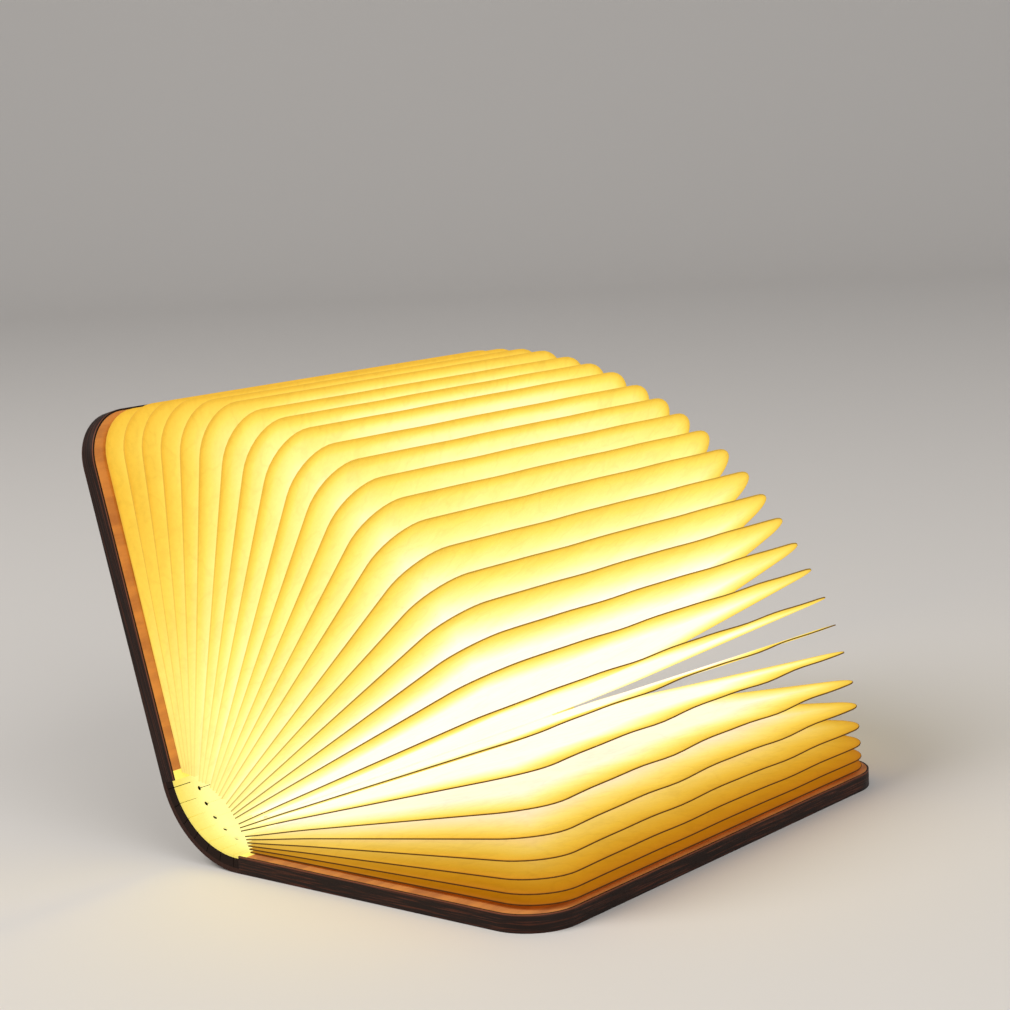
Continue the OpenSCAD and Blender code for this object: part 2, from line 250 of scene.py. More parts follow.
print("shader helpers ready")

# %% [markdown]
# ## The table and the light
#
# The lamp stands on a plain pale floor that curves up into a backdrop, under two large soft lamps.
# Their light is kept low, so that the lamp's own glow is what the eye sees first.

# %% Floor and studio lights
FLOOR_SIZE = 3.0
BACKDROP_RADIUS = 0.6
BACKDROP_STEPS = 12
FLOOR_COLOUR = (0.74, 0.71, 0.67, 1.0)
LAMP_AIM = (0, 0, 0.04)
KEY_PLACE = (-0.5, -0.9, 1.1)
KEY_COLOUR = (1.0, 0.97, 0.93)
FILL_PLACE = (1.2, -0.4, 0.8)
FILL_COLOUR = (1.0, 0.98, 0.96)
SKY_COLOUR = (0.75, 0.76, 0.8, 1.0)
SKY_STRENGTH = 0.42


def studio_floor():
    """A floor whose far side bends up into a wall."""
    mesh = bmesh.new()
    profile = [(-FLOOR_SIZE, 0.0), (FLOOR_SIZE / 2, 0.0)]
    for n in range(1, BACKDROP_STEPS + 1):
        turn = math.pi / 2 * n / BACKDROP_STEPS
        run = FLOOR_SIZE / 2 + BACKDROP_RADIUS * math.sin(turn)
        profile.append((run, BACKDROP_RADIUS * (1 - math.cos(turn))))
    profile.append((FLOOR_SIZE / 2 + BACKDROP_RADIUS, FLOOR_SIZE))
    rows = [[mesh.verts.new((x, y, z)) for x in (-FLOOR_SIZE, FLOOR_SIZE)] for y, z in profile]
    for low, high in zip(rows, rows[1:]):
        mesh.faces.new((low[0], low[1], high[1], high[0]))
    data = bpy.data.meshes.new("studio_floor")
    mesh.to_mesh(data)
    floor = bpy.data.objects.new("studio_floor", data)
    bpy.context.scene.collection.objects.link(floor)
    for face in data.polygons:
        face.use_smooth = True
    floor.rotation_euler.z = PAN
    return floor


def soft_light(name, place, size, power, colour):
    """A round soft lamp that points at the middle of the book."""
    data = bpy.data.lights.new(name, "AREA")
    data.shape = "DISK"
    data.size = size
    data.energy = power
    data.color = colour
    light = bpy.data.objects.new(name, data)
    light.location = place
    aim = Vector(LAMP_AIM) - Vector(place)
    light.rotation_euler = aim.to_track_quat("-Z", "Y").to_euler()
    bpy.context.scene.collection.objects.link(light)
    return light


floor = studio_floor()
matt_floor = Finish("studio_floor", Base_Color=FLOOR_COLOUR, Roughness=0.75)
floor.data.materials.append(matt_floor.material)

soft_light("key_light", KEY_PLACE, size=0.9, power=13.0, colour=KEY_COLOUR)
soft_light("fill_light", FILL_PLACE, size=1.2, power=9.0, colour=FILL_COLOUR)

world = bpy.data.worlds.new("studio")
world.use_nodes = True
sky = world.node_tree.nodes["Background"]
sky.inputs["Color"].default_value = SKY_COLOUR
sky.inputs["Strength"].default_value = SKY_STRENGTH
bpy.context.scene.world = world
bpy.context.scene.view_settings.view_transform = "Standard"
print("studio ready")

# %% [markdown]
# ## The leaves
#
# A leaf is a flat pocket of two plies of fibre paper, sealed round three edges and open to the light
# strips in the spine. Paper is never flat, so each leaf is a grid of points that follows its solid
# and then ripples a little. Neighbours ripple almost alike, and the outer ones hardly at all, so the
# stack still nests when the book is shut.

# %% Where each leaf lies
LEAF_NAMES = sorted(name for name in nodes if name.startswith("leaf_"))
PINS = [Vector(j["pos_m"]) for j in frame["joints"] if j["name"].startswith("spine_hinge")]
FOLD_CENTRE = sum(PINS, Vector()) / len(PINS)
CLOSE_TO = 0.1 * MM


class LeafPlace:
    """The plane of a leaf's solid: its root line, its direction, its normal and its sizes."""

    def __init__(self, name):
        points = np.array([v.co for v in nodes[name].data.vertices])
        spread = np.linalg.svd(points - points.mean(0), full_matrices=False)[2]
        away = spread[1] * np.sign(spread[1] @ (points.mean(0) - np.array(FOLD_CENTRE)))
        self.out = np.array([away[0], 0.0, away[2]])
        self.up = np.array([-self.out[2], 0.0, self.out[0]])
        reach = points @ self.out
        height = points @ self.up
        self.width = np.ptp(reach)
        self.half = points[:, 1].max()
        self.thick = np.ptp(height)
        self.root = self.out * reach.min() + self.up * (height.min() + height.max()) / 2
        self.root_half = points[reach < reach.min() + CLOSE_TO, 1].max()
        end = reach[points[:, 1] > self.half - CLOSE_TO]
        self.root_cut = end.min() - reach.min()
        self.corner = self.width - end.max() + reach.min()


places = [LeafPlace(name) for name in LEAF_NAMES]
print("leaves:", len(places), " corner radius mm:", round(places[0].corner / MM, 1))

# %% [markdown]
# A leaf's rows follow its outline, closer together round the corners, so that the rim is a smooth
# curve. Each point also remembers how far it lies from the fore edge and from the ends. The finish
# needs this, because the paper glows least along its sealed rim.

# %% Shape the leaves
ROWS_STRAIGHT = 30
ROWS_CORNER = 9
COLUMNS = 26
TOWARDS_EDGE = 1.4
RIPPLE_PER_LEAF = 0.11 * MM
RIPPLE_MOST = 0.52 * MM
RIPPLES = [(0.44, 35 * MM, 1.0, 0.0), (0.36, 88 * MM, -0.6, 1.1), (0.20, 19 * MM, 1.6, 2.0)]
CALM_FROM = 3
CALM_TO = 12
CALM_SHARE = 0.75
PHASE_PER_LEAF = 0.09
SLANT = 9.0
FLAT_ROOT = 16 * MM
FLAT_SHARE = 0.15
POCKET = 0.10 * MM
POCKET_OUTER = 0.03 * MM
SEALED = 4 * MM


def leaf_rows(place):
    """Y of every row of points, from one end of the leaf to the other."""
    straight = place.half - place.corner
    turns = [math.pi / 2 * n / ROWS_CORNER for n in range(1, ROWS_CORNER + 1)]
    far = [straight + place.corner * math.sin(turn) for turn in turns]
    middle = list(np.linspace(-straight, straight, ROWS_STRAIGHT))
    return [-y for y in reversed(far)] + middle + far


def leaf_span(place, y):
    """Where a row starts and ends, measured out from the root line."""
    past_root = max(0.0, abs(y) - place.root_half)
    start = place.root_cut * past_root / max(MM, place.half - place.root_half)
    past_corner = max(0.0, abs(y) - (place.half - place.corner))
    rise = math.sqrt(max(0.0, place.corner**2 - past_corner**2))
    return start, place.width - place.corner + rise


def smooth(value):
    value = min(1.0, max(0.0, value))
    return value * value * (3 - 2 * value)


def ripple(index, x, y):
    """How far the paper stands off its plane."""
    outer = min(index, len(places) - 1 - index)
    calm = 1 - CALM_SHARE * smooth((index - CALM_FROM) / (CALM_TO - CALM_FROM))
    height = calm * min(RIPPLE_MOST, RIPPLE_PER_LEAF * outer) * smooth(x / FLAT_ROOT - FLAT_SHARE)
    phase = index * PHASE_PER_LEAF
    waves = (part * math.sin(2 * math.pi * y / length + turn * phase + start + SLANT * x)
        for part, length, turn, start in RIPPLES)
    return height * sum(waves)


def make_leaf(index, place):
    rows = leaf_rows(place)
    pocket = POCKET_OUTER if index in (0, len(places) - 1) else POCKET
    vertices, facts = [], []
    for side in (1, -1):
        for y in rows:
            start, end = leaf_span(place, y)
            for column in range(COLUMNS):
                share = column / (COLUMNS - 1)
                x = start + (end - start) * (1 - (1 - share) ** TOWARDS_EDGE)
                rim = min(end - x, place.half - abs(y))
                puff = place.thick / 2 + pocket * smooth(rim / SEALED) * smooth(x / SEALED)
                off = ripple(index, x, y) + side * puff
                point = place.root + place.out * x + place.up * off
                vertices.append((point[0], y, point[2]))
                facts.append((place.width - x, place.half - abs(y), x))
    count = len(rows) * COLUMNS
    faces = []
    for layer in (0, count):
        for r in range(len(rows) - 1):
            for c in range(COLUMNS - 1):
                a = layer + r * COLUMNS + c
                quad = (a, a + 1, a + COLUMNS + 1, a + COLUMNS)
                faces.append(quad if layer else quad[::-1])
    border = [(r * COLUMNS, (r + 1) * COLUMNS) for r in range(len(rows) - 1)][::-1]
    border = [(b, a) for a, b in border]
    border += [(c, c + 1) for c in range(COLUMNS - 1)]
    border += [((r + 1) * COLUMNS - 1, (r + 2) * COLUMNS - 1) for r in range(len(rows) - 1)]
    last = (len(rows) - 1) * COLUMNS
    border += [(last + c + 1, last + c) for c in range(COLUMNS - 1)][::-1]
    faces += [(a, b, b + count, a + count) for a, b in border]
    mesh = bpy.data.meshes.new(LEAF_NAMES[index] + "_paper")
    mesh.from_pydata(vertices, [], faces)
    rim = mesh.attributes.new("rim", "FLOAT_VECTOR", "POINT")
    rim.data.foreach_set("vector", np.array(facts).ravel())
    mesh.polygons.foreach_set("use_smooth", [True] * len(mesh.polygons))
    leaf = bpy.data.objects.new(LEAF_NAMES[index] + "_paper", mesh)
    bpy.context.scene.collection.objects.link(leaf)
    return leaf


leaves = []
widths = [round(place.width / MM, 1) for place in places]
for index, place in enumerate(places):
    leaf = make_leaf(index, place)
    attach(leaf, LEAF_NAMES[index])
    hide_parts(LEAF_NAMES[index])
    leaves.append(leaf)
print("paper leaves:", len(leaves), " points in one:", len(leaves[0].data.vertices))
print("leaf widths mm:", min(widths), "to", max(widths), " length mm:", round(2 * places[0].half / MM, 1))

# %% [markdown]
# ## The spine
#
# The skin of the spine bends between six bodies: the two covers and the four links. One piece can
# bend across one hinge only, so each band is cut along the spine into five strips, one to a hinge.
# The cuts lie on the middles of the links, where both neighbours move alike. The
# flat lead ends at the last lamp strip, so it crosses one hinge less than the other bands.
#
# Beyond the links the spine is hollow. Its wall there is a dark board with a white lining, and kerfs
# through both let it bend: short ones from the end, and long ones between them that start from a
# small round hole, which stops the board from tearing.

# %% Cut the bands into strips, one to a hinge
BAND_SLOTS = {"spine_skin": "spine_skin", "spine_pads": "spine_pad", "spine_lining": "spine_lining",
    "flex_lead": "flex_film"}
HINGES_CROSSED = {"spine_skin": 5, "spine_pads": 5, "spine_lining": 5, "flex_lead": 4}


def ring_centre():
    """The centre of the arc that the pins stand on, from the first, middle and last of them."""
    a, b, c = (np.array((pin.x, pin.z)) for pin in (PINS[0], PINS[2], PINS[4]))
    rows = np.array([b - a, c - b])
    heights = np.array([(b @ b - a @ a) / 2, (c @ c - b @ b) / 2])
    x, z = np.linalg.solve(rows, heights)
    return Vector((x, 0, z))


RING = ring_centre()
PIN_TURNS = [math.atan2(RING.x - pin.x, RING.z - pin.z) for pin in PINS]
LINK_TURN = (PIN_TURNS[-1] - PIN_TURNS[0]) / (len(PINS) - 1)


def strip_of(name, hinge):
    """The part of a band that bends about one hinge, cut from the band's own solid."""
    mesh = bmesh.new()
    mesh.from_mesh(nodes[name].data)
    low = PIN_TURNS[hinge] - LINK_TURN / 2
    high = PIN_TURNS[hinge] + LINK_TURN / 2
    for turn, side, cut in ((low, 1, hinge > 0), (high, -1, hinge < len(PINS) - 1)):
        if cut:
            normal = Vector((-math.cos(turn), 0, math.sin(turn))) * side
            parts = mesh.verts[:] + mesh.edges[:] + mesh.faces[:]
            bmesh.ops.bisect_plane(mesh, geom=parts, plane_co=RING, plane_no=normal,
                clear_inner=True, clear_outer=False)
    data = bpy.data.meshes.new(f"{name}_strip_{hinge + 1}")
    mesh.to_mesh(data)
    strip = bpy.data.objects.new(data.name, data)
    bpy.context.scene.collection.objects.link(strip)
    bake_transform(strip)
    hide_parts(name)
    return strip


strips = {name: [strip_of(name, hinge) for hinge in range(HINGES_CROSSED[name])] for name in BAND_SLOTS}
print("strips:", {name: len(pieces) for name, pieces in strips.items()})
print("faces of the thinnest band:", [len(strip.data.polygons) for strip in strips["flex_lead"]])
print("degrees between hinges:", round(math.degrees(LINK_TURN), 2))

# %% [markdown]
# ## Glowing paper
#
# The strips in the spine light each pocket from its root, and the two plies spread that light over
# the whole leaf. It is nearly white in the middle, turns yellow and then orange within a few
# millimetres of the sealed rim, and ends in the seam itself. So the finish measures how deep a point
# lies inside the rounded outline and looks the colour up. The colour is paler towards the root, on the
# leaves above the middle of the fan, and along the fore edge of the upper ones, and it is deeper on
# the uppermost. The lowest leaves lie bunched on the cover and pass less light.
# The thin seam line at the rim is painted: a painted shadow on the lower leaves and a painted lit edge on
# the upper ones.

# %% Paper that glows
SEAM_PAINTED_SHADE = (0.030, 0.010, 0.003)
SEAM_PAINTED_LIGHT = (0.74, 0.45, 0.060)
DIM_TINT = (0.34, 0.15, 0.02)
DIM_FADE = (0.9, 1.3, 2.3)
GLOW_STOPS = [
    (0.0, (0.70, 0.460, 0.040)),
    (0.05, (0.79, 0.610, 0.075)),
    (0.18, (0.86, 0.750, 0.130)),
    (0.42, (0.93, 0.920, 0.320)),
    (0.85, (1.0, 1.0, 0.860)),
]
GLOW_REACH = 21 * MM
GLOW_STRENGTH = 1.0
WANDER = 2.5 * MM
WANDER_SIZE = 9 * MM
ROOT_REACH = 60 * MM
ROOT_LIFT = 0.36
LIFT_MOST = 0.13
LIFT_LEAF = 19
LIFT_SPREAD = 5.0
TOP_DROP = 0.06
TOP_DROP_FROM = 20
TOP_DROP_OVER = 6
LENGTH_LIFT = 0.26
LENGTH_LIFT_FROM = 13
LENGTH_LIFT_OVER = 7
CREASE_SHARP = 22
DIM_LEAVES = 6
TOP_TINT = (0.95, 0.86, 0.70)
TOP_TINT_FROM = 19
TOP_TINT_OVER = 8
LIT_SEAM_FROM = 6
LIT_SEAM_TO = 19
SEAM_FULL_MM = 0.02
SEAM_GONE_MM = 0.17
PAPER_DARK = (0.20, 0.065, 0.007)
PAPER_PALE = (0.29, 0.110, 0.018)
PAPER_DIMMEST = 0.45


def depth_inside(place, fore, side):
    """How deep a point lies inside the leaf's rounded outline."""
    from_fore = place.corner - fore
    from_side = place.corner - side
    diagonal = (from_fore.over(0.0) ** 2 + from_side.over(0.0) ** 2) ** 0.5
    return place.corner - diagonal - from_fore.over(from_side).under(0.0)


def glow_place(paper, index, depth, side, along):
    """Where a point's colour lies among the glow's stops."""
    wander = (paper.noise(WANDER_SIZE, 2) - 0.5) * WANDER
    lit_root = 1 - along.ramp(0.0, ROOT_REACH)
    lift = LIFT_MOST * math.exp(-((index - LIFT_LEAF) / LIFT_SPREAD) ** 2)
    lift -= TOP_DROP * smooth((index - TOP_DROP_FROM) / TOP_DROP_OVER)
    deep = (depth + wander * depth.ramp(0.5 * MM, 4 * MM)) / GLOW_REACH + lit_root * ROOT_LIFT
    deep = deep + lift * depth.ramp(0.4 * MM, 3 * MM)
    along_edge = side.ramp(8 * MM, 38 * MM) * depth.ramp(0.3 * MM, 3 * MM)
    upper = smooth((index - LENGTH_LIFT_FROM) / LENGTH_LIFT_OVER)
    return deep + along_edge * (LENGTH_LIFT * upper)


def leaf_finish(index, place):
    paper = Finish(f"leaf_paper_{index + 1:02d}", Roughness=0.85, Specular_IOR_Level=0.1)
    rim = paper.add("Attribute", {"attribute_name": "rim"}, out="Vector")
    fore, side, along = paper.split(rim)
    depth = depth_inside(place, fore, side)
    deep = glow_place(paper, index, depth, side, along)
    glow = paper.add("ValToRGB", {"stops": GLOW_STOPS}, {0: deep})
    fibres = paper.noise(0.9 * MM, 4, 0.65)
    cloudy = paper.noise(14 * MM, 3)
    drawn = paper.noise(3.5 * MM, at=paper.scaled(rim, (0.12, 1.0, 0.12)))
    creases = (1 - abs(paper.noise(8 * MM, 2) - 0.5) * CREASE_SHARP).over(0.0)
    level = fibres * 0.14 + cloudy * 0.15 + drawn * 0.12 - creases * 0.06 + 0.81
    glow = paper.mix(1.0, glow, level, blend="MULTIPLY")
    lit = smooth((index + 1.5) / (DIM_LEAVES + 2))
    top = smooth((index - TOP_TINT_FROM) / TOP_TINT_OVER)
    tint = tuple((low + (1 - low) * lit ** fade) * (1 - top * (1 - high))
        for low, fade, high in zip(DIM_TINT, DIM_FADE, TOP_TINT))
    glow = paper.mix(1.0, glow, tint, blend="MULTIPLY")
    # Painted light and shade: the seam line is a dark painted shadow on the lower leaves and a pale
    # painted lit edge on the upper ones. Its dark colour also goes into the base colour.
    pale = smooth((index - LIT_SEAM_FROM) / (LIT_SEAM_TO - LIT_SEAM_FROM))
    seam = tuple(a + (b - a) * pale for a, b in zip(SEAM_PAINTED_SHADE, SEAM_PAINTED_LIGHT))
    line = (1 - (depth / MM).ramp(SEAM_FULL_MM, SEAM_GONE_MM)) * (0.92 - 0.45 * pale)
    line = line * (1 - (1 - along.ramp(8 * MM, 50 * MM)) * (0.6 * pale))
    glow = paper.mix(line, glow, seam)
    base = paper.mix(fibres, PAPER_DARK, PAPER_PALE)
    # Painted shade: the lower leaves get a darker base colour.
    shade = PAPER_DIMMEST + (1 - PAPER_DIMMEST) * lit
    base = paper.mix(1.0, base, (shade, shade, shade), blend="MULTIPLY")
    base = paper.mix(line, base, SEAM_PAINTED_SHADE)
    relief = fibres * 0.5 + cloudy * 0.3 - creases * 0.2
    paper.feed({"Base Color": base, "Emission Color": glow, "Emission Strength": GLOW_STRENGTH,
        "Normal": paper.bump(relief, 0.05 * MM), "Roughness": fibres * 0.2 + 0.7})
    return paper.material


for index, leaf in enumerate(leaves):
    leaf.data.materials.append(leaf_finish(index, places[index]))
print("paper finishes:", len(leaves))

# %% [markdown]
# ## The covers
#
# A cover is a pressed board with a dark wrap turned over its edges, and an endpaper glued inside. The
# wrap is fine grained. Where it is turned over the edge it is stretched and burnished, so the layers
# show through as reddish streaks that run along the edge. A paler reddish line along the edge, next
# to the inner face, is painted light from the glow of the leaves.

# %% Wraps, boards and endpapers
WRAP_DARK = (0.007, 0.0035, 0.0025)
WRAP_BROWN = (0.020, 0.009, 0.006)
GRAIN_SIZE = 0.5 * MM
PORE_SIZE = 0.7 * MM
MOTTLE_SIZE = 12 * MM
LAYER_STEP = 0.28 * MM
LAYER_RUN = 9 * MM
STREAK_RED = (0.110, 0.028, 0.012)
RIM_PAINTED_GLOW = (0.300, 0.090, 0.040)
BOARD_GREY = (0.30, 0.22, 0.15)
BOARD_PALE = (0.46, 0.36, 0.25)
PLY_STEP = 0.35 * MM
PLY_RUN = 14 * MM
ENDPAPER = (0.75, 0.300, 0.055)
ENDPAPER_DARK = (0.42, 0.140, 0.030)
ENDPAPER_FIBRE = (0.55, 0.25, 0.12)
LINING_LAP = 2.0 * MM
WELD_WITHIN = 0.002 * MM
SHARPER_THAN = math.radians(40)
LINING_MOUTH_LIGHT = (0.93, 0.76, 0.10)
PAINTED_GLOW_STRENGTH = 0.8
CARD_DARK = (0.30, 0.24, 0.06)
CARD_PALE = (0.40, 0.33, 0.10)
NO_GLOW = (0.0, 0.0, 0.0)
LOWER_NORMAL = Vector((0, 0, 1))
OPENING = math.radians(105)
UPPER_NORMAL = Vector((math.sin(OPENING), 0, -math.cos(OPENING)))


def inner_height(name, normal):
    """Height of a piece's inner face above the frame's origin, along its cover's normal."""
    return max(Vector(v.co).dot(normal) for v in nodes[name].data.vertices)


def leather(finish):
    """The mottled colour, the grain and the pores that the wraps and the spine's skin share."""
    grain = finish.noise(GRAIN_SIZE, 5, 0.6)
    mottle = finish.noise(MOTTLE_SIZE, 3)
    pores = finish.add("TexVoronoi", None, {"Vector": finish.place(), "Scale": 1 / PORE_SIZE})
    colour = finish.mix(mottle * 0.6 + grain * 0.4, WRAP_DARK, WRAP_BROWN)
    return colour, grain, pores


def wrap_finish(name, normal):
    wrap = Finish(name, Roughness=0.6, Specular_IOR_Level=0.18)
    top = inner_height(name, normal)
    height = wrap.dot(wrap.place(), normal) - top
    facing = abs(wrap.dot(wrap.add("TexCoord", out="Normal"), normal))
    edge = 1 - facing.ramp(0.25, 0.75)
    layers = wrap.noise(1.0, 4, 0.6, wrap.layered(normal, LAYER_STEP, LAYER_RUN))
    streaks = layers.ramp(0.48, 0.72) * edge
    colour, grain, pores = leather(wrap)
    colour = wrap.mix(streaks * 0.75, colour, STREAK_RED)
    # Painted light: a reddish line along the edge next to the inner face, where the leaves' glow falls.
    rim = (height / MM).ramp(-0.45, -0.05) * edge
    colour = wrap.mix(rim * (0.4 + 0.6 * layers), colour, RIM_PAINTED_GLOW)
    rough = 0.46 + 0.2 * grain - 0.1 * streaks
    relief = grain * 0.5 + pores * 0.5 * (1 - edge) + layers * edge
    wrap.feed({"Base Color": colour, "Roughness": rough, "Normal": wrap.bump(relief, 0.10 * MM)})
    return wrap.material


def board_finish(name, normal):
    board = Finish(name, Roughness=0.9)
    plies = board.noise(1.0, 3, 0.6, board.layered(normal, PLY_STEP, PLY_RUN))
    specks = board.noise(0.6 * MM, 4, 0.7)
    colour = board.mix(plies * 0.6 + specks * 0.4, BOARD_GREY, BOARD_PALE)
    board.feed({"Base Color": colour, "Roughness": 0.8 + 0.15 * specks,
        "Normal": board.bump(plies * 0.7 + specks * 0.3, 0.08 * MM)})
    return board.material


def liner_finish(name, normal):
    """Streaky paper, with the spine's white lining lapping onto it at the hollow ends."""
    liner = Finish(name, Roughness=0.8)
    out = normal.cross(Vector((0, 1, 0)))
    if out.dot(Vector(nodes[name].data.vertices[0].co) - FOLD_CENTRE) < 0:
        out.negate()
    start = min(Vector(v.co).dot(out) for v in nodes[name].data.vertices)
    past_start = (liner.dot(liner.place(), out) - start) / MM
    lap = 1 - past_start.ramp(LINING_LAP / MM - 0.1, LINING_LAP / MM)
    streaks = liner.noise(1.1 * MM, 4, 0.55, liner.stretched(0.35, 0.08, 0.35))
    fibres = liner.noise(0.35 * MM, 4, 0.6)
    stain = liner.noise(16 * MM, 2)
    colour = liner.mix(streaks.ramp(0.35, 0.7) * 0.7 + stain * 0.3, ENDPAPER, ENDPAPER_DARK)
    colour = liner.mix(fibres * 0.25, colour, ENDPAPER_FIBRE)
    colour = liner.mix(lap, colour, CARD_PALE)
    # Painted light: the lap of white lining glows with the light of the strips.
    glow = liner.mix(lap, NO_GLOW, LINING_MOUTH_LIGHT)
    liner.feed({"Base Color": colour, "Emission Color": glow, "Emission Strength": PAINTED_GLOW_STRENGTH,
        "Roughness": 0.66 + 0.2 * fibres, "Normal": liner.bump(fibres * 0.6 + streaks * 0.4, 0.04 * MM)})
    return liner.material


def soften(name, width):
    """Welds a solid's corners and rounds its edges a little."""
    piece = nodes[name]
    weld = piece.modifiers.new("weld", "WELD")
    weld.merge_threshold = WELD_WITHIN
    bevel = piece.modifiers.new("bevel", "BEVEL")
    bevel.width = width
    bevel.segments = 2
    bevel.limit_method = "ANGLE"
    bevel.angle_limit = SHARPER_THAN
    bevel.harden_normals = True
    return piece


def finish_node(name, material, width=0.0):
    piece = soften(name, width) if width else nodes[name]
    piece.data.materials.clear()
    piece.data.materials.append(material)
    for face in piece.data.polygons:
        face.material_index = 0


for side, normal in (("lower", LOWER_NORMAL), ("upper", UPPER_NORMAL)):
    finish_node(side + "_wrap", wrap_finish(side + "_wrap", normal), 0.13 * MM)
    finish_node(side + "_board", board_finish(side + "_board", normal), 0.10 * MM)
    finish_node(side + "_liner", liner_finish(side + "_liner", normal), 0.05 * MM)
print("cover finishes ready")

# %% [markdown]
# ## The spine's bands
#
# The skin is the covers' wrap again, with white card on its inner face so that no light is lost
# between the links; that card's glow is painted light from the strips. The pads are board, dark at
# the cut end, and the lining is white card lit by the light strips. Its glow is painted light that
# reaches out to the mouth, where it turns yellow.

# %% Skin, pads, lining and lead
LINING_DEEP_LIGHT = (1.0, 0.97, 0.38)
PAD_DARK = (0.008, 0.004, 0.003)
PAD_BROWN = (0.024, 0.011, 0.007)
BOOK_HALF = cad_box[1][1]
LINK_HALF = max(v.co.y for v in nodes["spine_link_2"].data.vertices)
FACES_RING = 0.7
FILM_AMBER = (0.55, 0.24, 0.04)
FILM_COPPER = (0.70, 0.42, 0.16)
FILM_TRACK = 6 * MM


def skin_finish(name, carded):
    """The wrap's grain, with white card over the links where the face is the inner one."""
    skin = Finish(name, Roughness=0.6, Specular_IOR_Level=0.18)
    colour, grain, pores = leather(skin)
    end = (abs(skin.axis(1)) / MM).ramp(BOOK_HALF / MM - 0.3, BOOK_HALF / MM - 0.02)
    colour = skin.mix(end * grain * 0.4, colour, STREAK_RED)
    if carded:
        card = 1 - (abs(skin.axis(1)) / MM).ramp(LINK_HALF / MM - 0.4, LINK_HALF / MM)
        colour = skin.mix(card, colour, CARD_PALE)
        # Painted light: the inner card glows with the light of the strips.
        glow = skin.mix(card, NO_GLOW, LINING_DEEP_LIGHT)
        skin.feed({"Emission Color": glow, "Emission Strength": PAINTED_GLOW_STRENGTH})
    skin.feed({"Base Color": colour, "Roughness": 0.46 + 0.2 * grain,
        "Normal": skin.bump(grain * 0.5 + pores * 0.5, 0.10 * MM)})
    return skin.material


def pad_finish():
    pad = Finish("spine_pads", Roughness=0.85, Specular_IOR_Level=0.15)
    specks = pad.noise(0.5 * MM, 4, 0.7)
    mottle = pad.noise(5 * MM, 2)
    colour = pad.mix(specks * 0.5 + mottle * 0.5, PAD_DARK, PAD_BROWN)
    pad.feed({"Base Color": colour, "Roughness": 0.7 + 0.2 * specks,
        "Normal": pad.bump(specks, 0.08 * MM)})
    return pad.material


def lining_finish():
    lining = Finish("spine_lining", Roughness=0.7)
    inward = (BOOK_HALF - abs(lining.axis(1))) / MM
    fibres = lining.noise(0.6 * MM, 4, 0.6)
    cloudy = lining.noise(6 * MM, 2)
    # Painted light: the card glows with the light of the strips, yellow at the mouth and whiter deeper
    # in.
    deep = (inward + cloudy * 2.0 - 1.0).ramp(-1.0, 8.0)
    glow = lining.mix(deep, LINING_MOUTH_LIGHT, LINING_DEEP_LIGHT)
    glow = lining.mix(1.0, glow, 0.72 + 0.24 * deep + 0.08 * fibres, blend="MULTIPLY")
    lining.feed({"Base Color": lining.mix(fibres, CARD_DARK, CARD_PALE),
        "Emission Color": glow, "Emission Strength": PAINTED_GLOW_STRENGTH,
        "Normal": lining.bump(fibres * 0.7 + cloudy * 0.3, 0.05 * MM)})
    return lining.material


def film_finish():
    film = Finish("flex_film", Roughness=0.35)
    tracks = film.add("TexWave", {"bands_direction": "Y"}, {"Vector": film.place(),
        "Scale": 1 / FILM_TRACK, "Distortion": 0.0})
    smudge = film.noise(3 * MM, 3)
    colour = film.mix(tracks.ramp(0.55, 0.75), FILM_AMBER, FILM_COPPER)
    film.feed({"Base Color": colour, "Roughness": 0.28 + 0.25 * smudge,
        "Normal": film.bump(tracks, 0.02 * MM)})
    return film.material


BAND_FINISHES = {"spine_skin": skin_finish("spine_skin", False), "spine_pads": pad_finish(),
    "spine_lining": lining_finish(), "flex_lead": film_finish()}
for name, material in BAND_FINISHES.items():
    for strip in strips[name]:
        strip.data.materials.clear()
        strip.data.materials.append(material)
        strip.data.polygons.foreach_set("material_index", [0] * len(strip.data.polygons))
inner_skin = skin_finish("spine_skin_inside", True)
for strip in strips["spine_skin"]:
    strip.data.materials.append(inner_skin)
    for face in strip.data.polygons:
        inward = Vector((RING.x - face.center.x, 0, RING.z - face.center.z)).normalized()
        face.material_index = int(face.normal.dot(inward) > FACES_RING)
print("band finishes ready")

# %% [markdown]
# ## Links, pins and light strips
#
# The links are milky silicone, which spreads the light of the strips that stand in their slots. The
# pins are dull drawn wire. Each strip is white board with warm chips along one edge.

# %% Silicone, steel and light strips
SILICONE_DARK = (0.78, 0.68, 0.46)
SILICONE_PALE = (0.90, 0.82, 0.62)
SILICONE_WARM = (0.95, 0.66, 0.28)
SILICONE_BRIGHT = (1.0, 0.90, 0.60)
STRIP_DARK = (0.80, 0.76, 0.66)
STRIP_PALE = (0.92, 0.89, 0.80)
CHIP_WARM = (1.0, 0.74, 0.34)
CHIP_BRIGHT = (1.0, 0.93, 0.70)
CHIP_STEP = 25 * MM
WIRE_DARK = (0.16, 0.16, 0.17)
WIRE_PALE = (0.34, 0.33, 0.32)
WIRE_GLOW = (1.0, 0.80, 0.36)
DRAWN_SIZE = 0.25 * MM
PIN_END = max(v.co.y for v in nodes["hinge_pin_1"].data.vertices)
LINKS = len(PINS) + 1
LIT_LINKS = len(PINS) - 1


